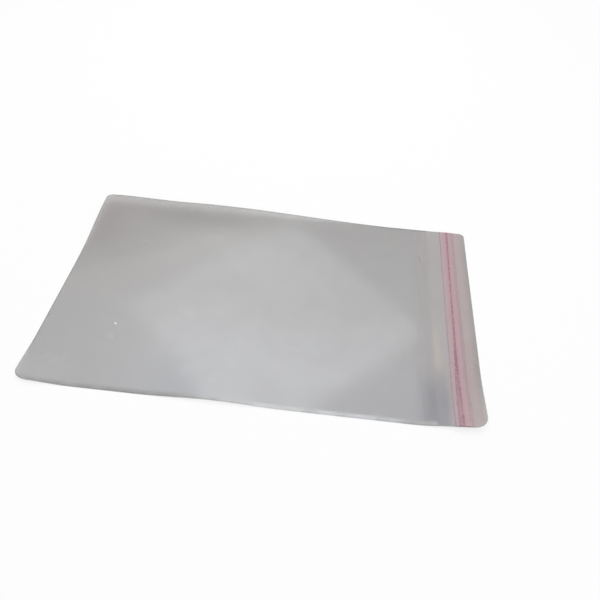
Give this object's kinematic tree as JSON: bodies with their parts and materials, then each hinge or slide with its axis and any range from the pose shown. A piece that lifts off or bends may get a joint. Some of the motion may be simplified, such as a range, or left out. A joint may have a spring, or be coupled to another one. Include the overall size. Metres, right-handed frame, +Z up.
{
  "type": "cellophane bag",
  "caption": "Flat clear film bag with a bottom fold, melted side welds, an open mouth and a self-seal lip under a pink-tinted peel-off liner.",
  "frame": {"origin": "under the middle of the bag, on the surface that its back panel lies on", "axes": "+X from the bottom fold to the end of the lip, +Y across the bag, +Z up out of the front panel"},
  "size_m": [0.34, 0.22, 0.0082],
  "materials": {
    "film": "gloss",
    "adhesive": "satin",
    "liner": "satin"
  },
  "bodies": {
    "root": {"film_bag": "film", "adhesive_strip": "adhesive", "release_liner": "liner"}
  },
  "joints": []
}
